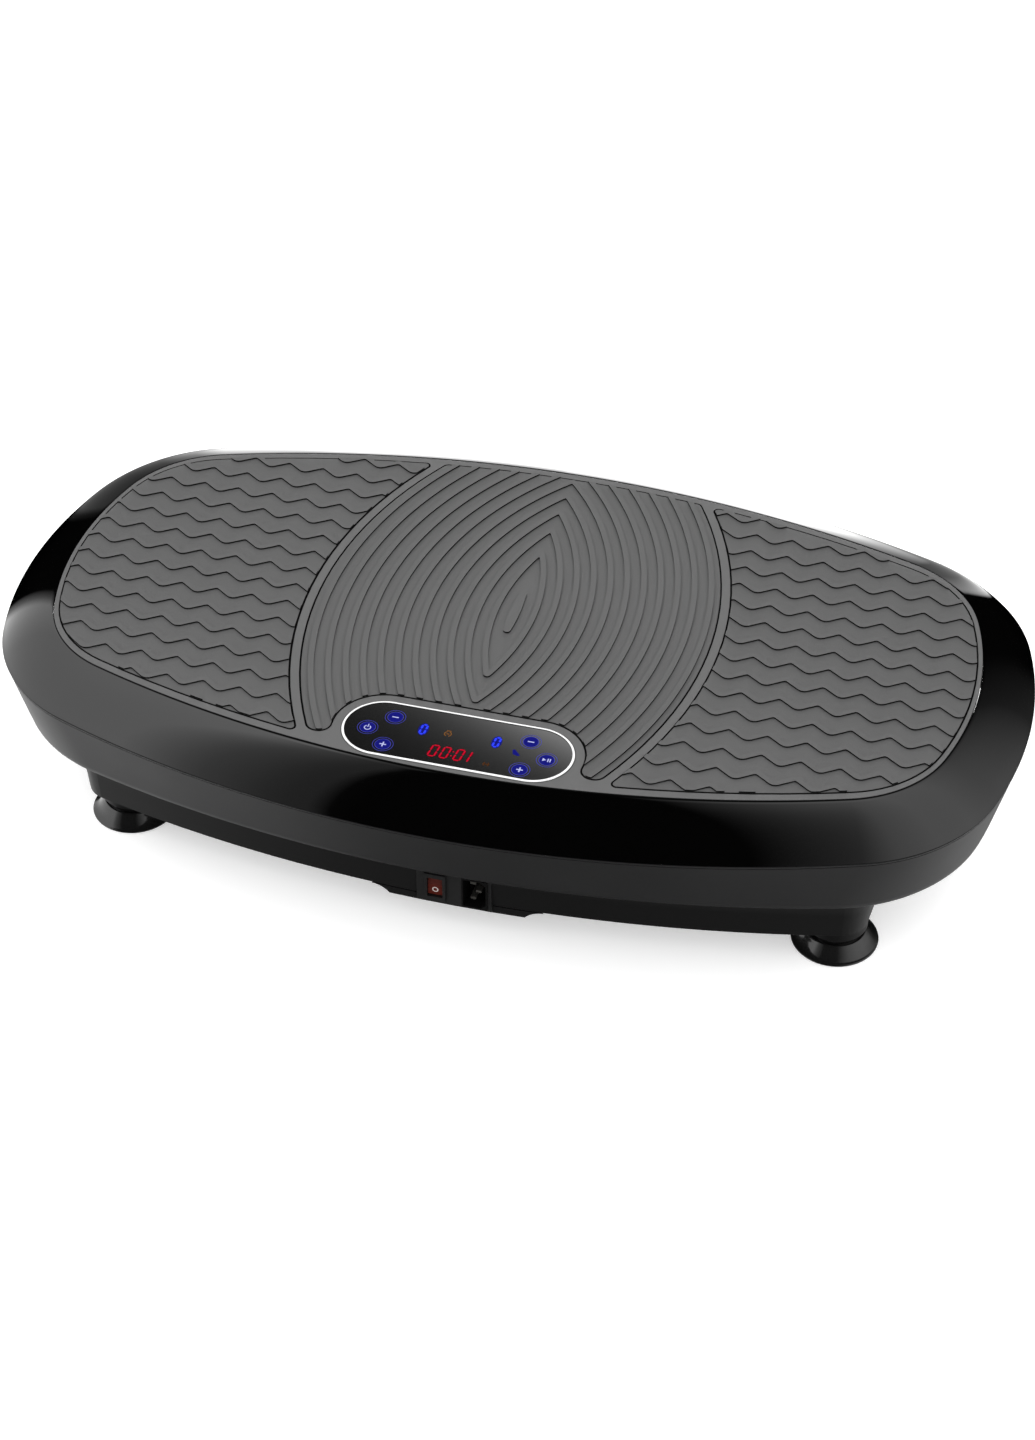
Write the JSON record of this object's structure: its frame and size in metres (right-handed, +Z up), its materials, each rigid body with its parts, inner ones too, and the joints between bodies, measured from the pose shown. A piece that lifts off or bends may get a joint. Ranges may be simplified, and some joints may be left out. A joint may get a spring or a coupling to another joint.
{
  "type": "vibration plate",
  "caption": "Barrel-shaped exercise plate: a rocking deck with a ribbed rubber mat and a touch display on a low base with a belt-driven eccentric, power inlet and suction feet.",
  "frame": {"origin": "on the floor, midway between the four feet", "axes": "+X along the long side to the right, -Y to the front with the display and the power inlet, +Z up"},
  "size_m": [0.745, 0.439, 0.1546],
  "materials": {
    "base_housing": "satin, fine grain",
    "power_panel": "moulded",
    "inlet_housing": "moulded",
    "inlet_pins": "plated",
    "switch_housing": "moulded",
    "chassis_frame": "powder coated",
    "foot_front_left": "glossy moulded rubber",
    "foot_front_right": "glossy moulded rubber",
    "foot_rear_left": "glossy moulded rubber",
    "foot_rear_right": "glossy moulded rubber",
    "foot_studs": "zinc plated",
    "pivot_pillow_blocks": "machined casting",
    "pivot_bearings": "machined",
    "crank_bearing_blocks": "machined casting",
    "crank_bearings": "machined",
    "drive_motor_housing": "painted",
    "drive_motor_mount": "powder coated",
    "drive_belt": "matt",
    "control_board": "solder resist",
    "board_spacers": "zinc plated",
    "board_components": "moulded",
    "power_supply": "die cast",
    "buffer_seats": "zinc plated",
    "rubber_buffers": "matt",
    "chassis_screws": "zinc plated",
    "top_cover": "high gloss, moulded",
    "skirt_ring": "satin, fine grain",
    "rubber_mat": "matt textured rubber",
    "deck_plate": "powder coated",
    "deck_frame": "powder coated",
    "display_bezel": "bright ring",
    "display_glass": "polished acrylic",
    "display_board": "solder resist",
    "display_spacers": "zinc plated",
    "display_modules": "moulded",
    "pivot_lugs": "powder coated",
    "pivot_shaft": "machined",
    "rod_bracket": "powder coated",
    "rod_pin": "machined",
    "rod_bush": "matt",
    "vibration_motor_housing": "die cast",
    "vibration_motor_mount": "powder coated",
    "deck_screws": "zinc plated",
    "crankshaft": "machined",
    "crank_pulley": "die cast",
    "motor_shaft": "machined",
    "motor_pulley": "die cast",
    "connecting_rod": "machined casting",
    "vibration_shaft": "machined",
    "eccentric_weights": "machined casting",
    "power_rocker": "translucent"
  },
  "bodies": {
    "base": {"base_housing": "base_housing", "power_panel": "power_panel", "inlet_housing": "inlet_housing", "inlet_pins": "inlet_pins", "switch_housing": "switch_housing", "chassis_frame": "chassis_frame", "foot_front_left": "foot_front_left", "foot_front_right": "foot_front_right", "foot_rear_left": "foot_rear_left", "foot_rear_right": "foot_rear_right", "foot_studs": "foot_studs", "pivot_pillow_blocks": "pivot_pillow_blocks", "pivot_bearings": "pivot_bearings", "crank_bearing_blocks": "crank_bearing_blocks", "crank_bearings": "crank_bearings", "drive_motor_housing": "drive_motor_housing", "drive_motor_mount": "drive_motor_mount", "drive_belt": "drive_belt", "control_board": "control_board", "board_spacers": "board_spacers", "board_components": "board_components", "power_supply": "power_supply", "buffer_seats": "buffer_seats", "rubber_buffers": "rubber_buffers", "chassis_screws": "chassis_screws"},
    "deck": {"top_cover": "top_cover", "skirt_ring": "skirt_ring", "rubber_mat": "rubber_mat", "deck_plate": "deck_plate", "deck_frame": "deck_frame", "display_bezel": "display_bezel", "display_glass": "display_glass", "display_board": "display_board", "display_spacers": "display_spacers", "display_modules": "display_modules", "pivot_lugs": "pivot_lugs", "pivot_shaft": "pivot_shaft", "rod_bracket": "rod_bracket", "rod_pin": "rod_pin", "rod_bush": "rod_bush", "vibration_motor_housing": "vibration_motor_housing", "vibration_motor_mount": "vibration_motor_mount", "deck_screws": "deck_screws"},
    "eccentric_shaft": {"crankshaft": "crankshaft", "crank_pulley": "crank_pulley"},
    "drive_rotor": {"motor_shaft": "motor_shaft", "motor_pulley": "motor_pulley"},
    "connecting_rod": {"connecting_rod": "connecting_rod"},
    "vibration_rotor": {"vibration_shaft": "vibration_shaft", "eccentric_weights": "eccentric_weights"},
    "power_rocker": {"power_rocker": "power_rocker"}
  },
  "joints": [
    {"name": "deck_rock", "type": "hinge", "parent": "base", "child": "deck", "pos_m": [0, 0, 0.095], "axis": [0, 1, 0], "range_deg": [-0.95, 0.95], "stiffness_Nm_per_rad": 1500, "deforming": ["rod_bush"]},
    {"name": "crank_spin", "type": "hinge", "parent": "base", "child": "eccentric_shaft", "pos_m": [-0.1525, 0, 0.075], "axis": [0, 1, 0], "continuous": true},
    {"name": "rod_eye", "type": "hinge", "parent": "eccentric_shaft", "child": "connecting_rod", "pos_m": [-0.15, 0, 0.075], "axis": [0, 1, 0], "continuous": true},
    {"name": "motor_spin", "type": "hinge", "parent": "base", "child": "drive_rotor", "pos_m": [-0.07, 0, 0.089], "axis": [0, 1, 0], "continuous": true},
    {"name": "vibration_spin", "type": "hinge", "parent": "deck", "child": "vibration_rotor", "pos_m": [0.16, 0, 0.1], "axis": [0, 1, 0], "continuous": true},
    {"name": "power_switch", "type": "hinge", "parent": "base", "child": "power_rocker", "pos_m": [-0.0085, -0.1713, 0.046], "axis": [1, 0, 0], "range_deg": [0, 24]}
  ],
  "couplings": [
    {"joint": "rod_eye", "follows": "crank_spin", "ratio": -1},
    {"joint": "motor_spin", "follows": "crank_spin", "ratio": 2}
  ]
}
